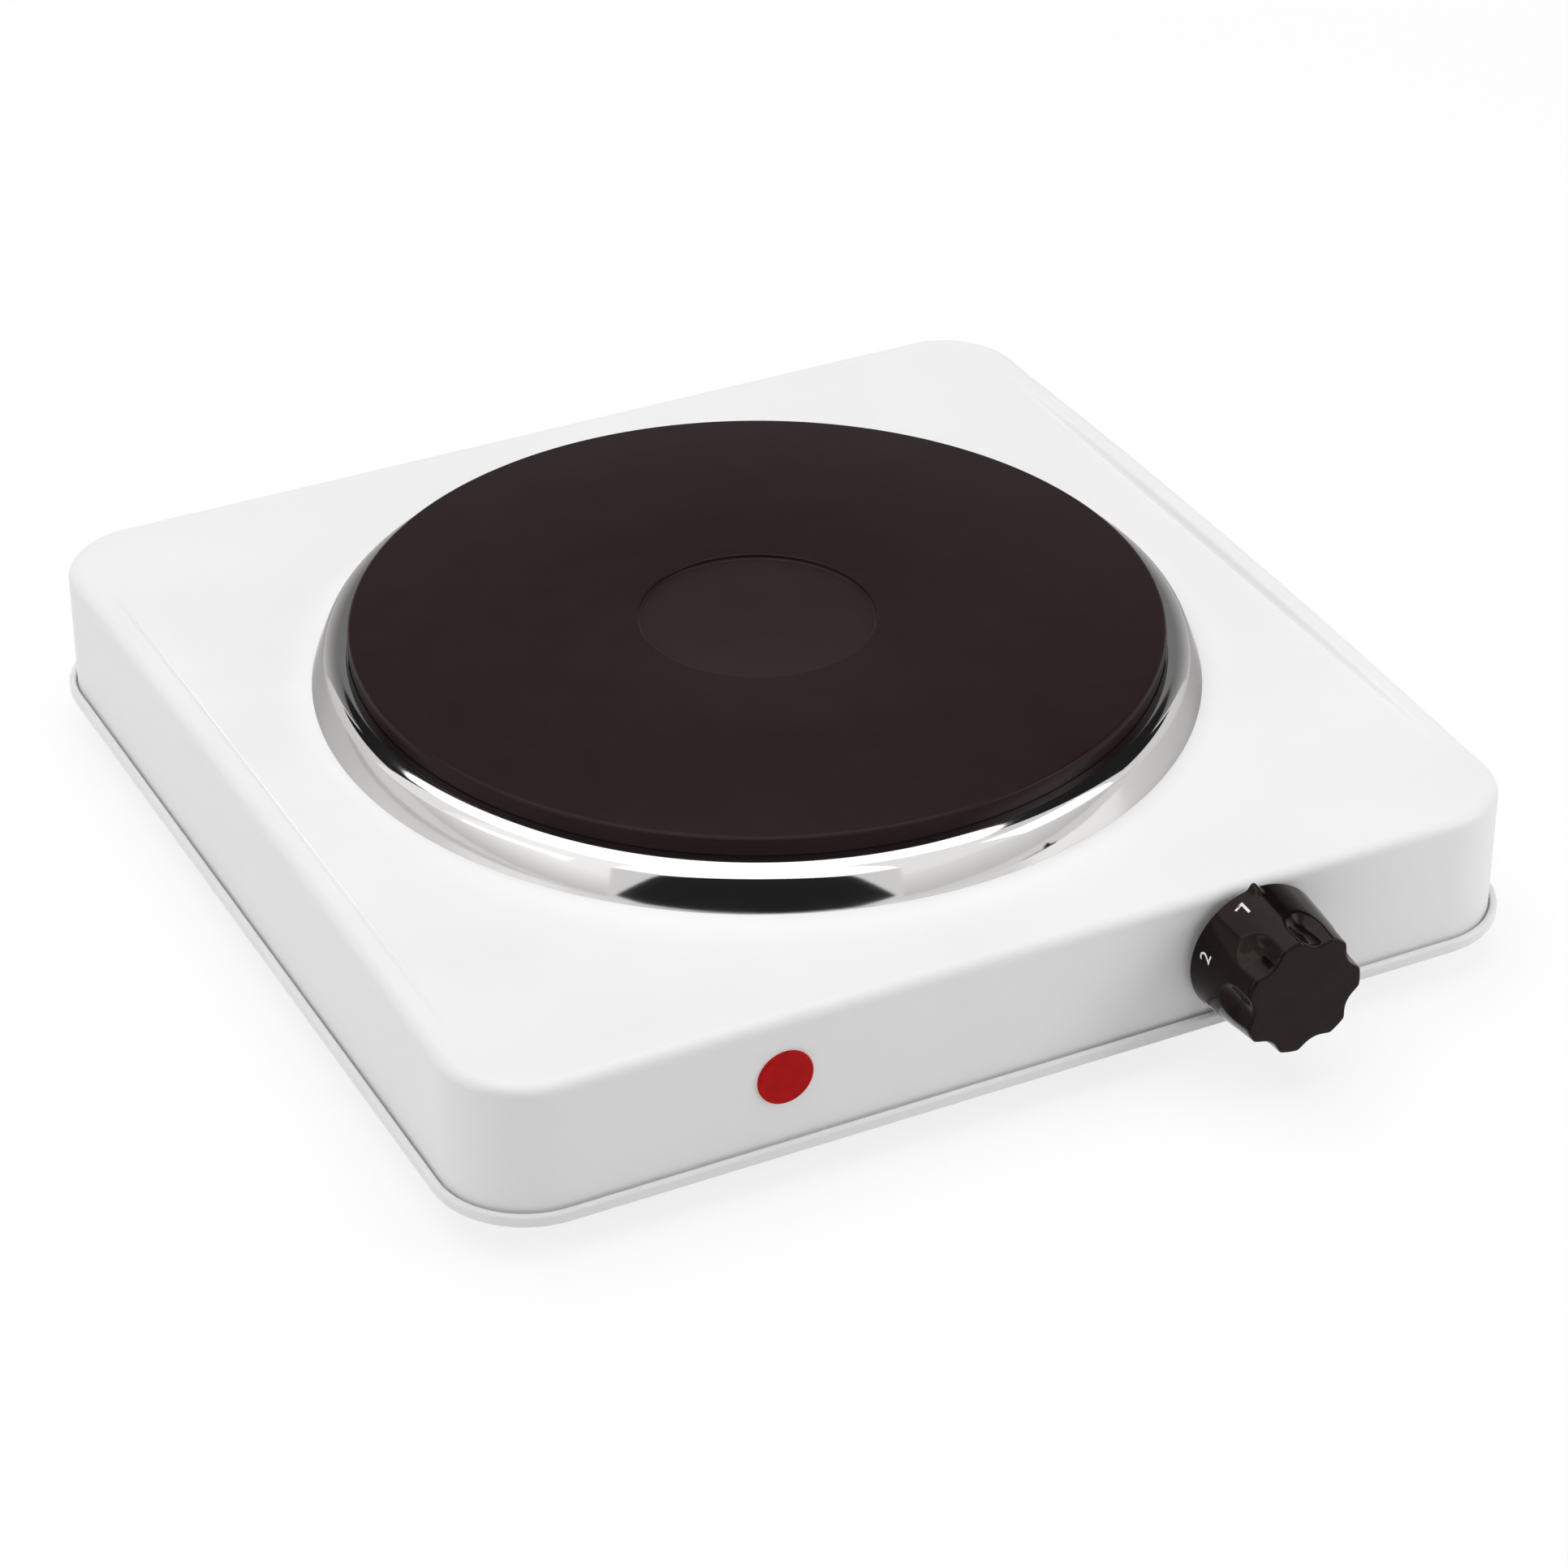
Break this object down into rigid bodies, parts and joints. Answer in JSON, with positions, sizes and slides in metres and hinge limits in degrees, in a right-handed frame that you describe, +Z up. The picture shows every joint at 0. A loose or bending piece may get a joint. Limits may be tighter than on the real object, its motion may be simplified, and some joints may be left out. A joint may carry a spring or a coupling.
{
  "type": "electric hot plate",
  "caption": "Portable electric hot plate: low square white steel body, round cast-iron plate in a bright spill ring, turning control knob and red indicator lamp.",
  "frame": {"origin": "centre of the overall footprint, knob and gland included, on the surface that the feet stand on", "axes": "+X to the right, +Y to the back (the knob and lamp face -Y), +Z up"},
  "size_m": [0.256, 0.283, 0.055],
  "materials": {
    "white_paint": "smooth baked white enamel, soft gloss",
    "cast_iron": "brown-black satin coating with fine turned lines",
    "chrome": "bright polished plating",
    "knob_plastic": "black phenolic, glossy sides, satin face",
    "red_lens": "translucent deep red",
    "rubber": "matt black",
    "zinc_steel": "zinc-plated steel",
    "brass": "plain turned brass",
    "ceramic": "unglazed steatite",
    "magnesia": "pressed insulating filling",
    "resistance_alloy": "oxidised resistance alloy",
    "contact_metal": "silver contact",
    "glass": "clear glass with an orange glow",
    "black_plastic": "matt black",
    "white_plastic": "matt white",
    "brown_insulation": "brown silicone insulation",
    "blue_insulation": "blue silicone insulation",
    "green_insulation": "green silicone insulation",
    "black_insulation": "black silicone insulation"
  },
  "bodies": {
    "body": {"top_housing": "white_paint", "base_pan": "white_paint", "foot_front_left": "rubber", "foot_front_right": "rubber", "foot_rear_left": "rubber", "foot_rear_right": "rubber", "foot_screws": "zinc_steel", "base_tabs": "zinc_steel", "cast_iron_plate": "cast_iron", "spill_ring": "chrome", "insulation_filler": "magnesia", "heating_coil": "resistance_alloy", "coil_pins": "zinc_steel", "pin_bushes": "ceramic", "plate_cover_disc": "zinc_steel", "centre_stud": "zinc_steel", "plate_bracket": "zinc_steel", "stud_washer": "zinc_steel", "stud_nut": "zinc_steel", "thermostat_bushing": "brass", "bushing_nut": "brass", "thermostat_frame": "zinc_steel", "ceramic_spacers": "ceramic", "regulating_leaf": "brass", "contact_leaf": "brass", "bimetal_strip": "zinc_steel", "contact_rivets": "contact_metal", "stack_rivet": "zinc_steel", "lamp_lens": "red_lens", "lamp_retainer": "zinc_steel", "lamp_plug": "white_plastic", "neon_bulb": "glass", "cord_gland": "black_plastic", "gland_nut": "black_plastic", "terminal_block": "white_plastic", "terminal_screws": "brass", "block_screws": "zinc_steel", "earth_screw": "brass", "earth_nut": "brass", "live_lead": "brown_insulation", "switched_lead": "black_insulation", "neutral_lead": "blue_insulation", "earth_lead": "green_insulation", "lamp_switched_lead": "black_insulation", "lamp_neutral_lead": "blue_insulation"},
    "control": {"knob": "knob_plastic", "knob_spring_clip": "zinc_steel", "thermostat_spindle": "zinc_steel"}
  },
  "joints": [
    {"name": "knob_turn", "type": "hinge", "parent": "body", "child": "control", "pos_m": [0.054, -0.1265, 0.026], "axis": [0, 1, 0], "range_deg": [0, 270]}
  ]
}
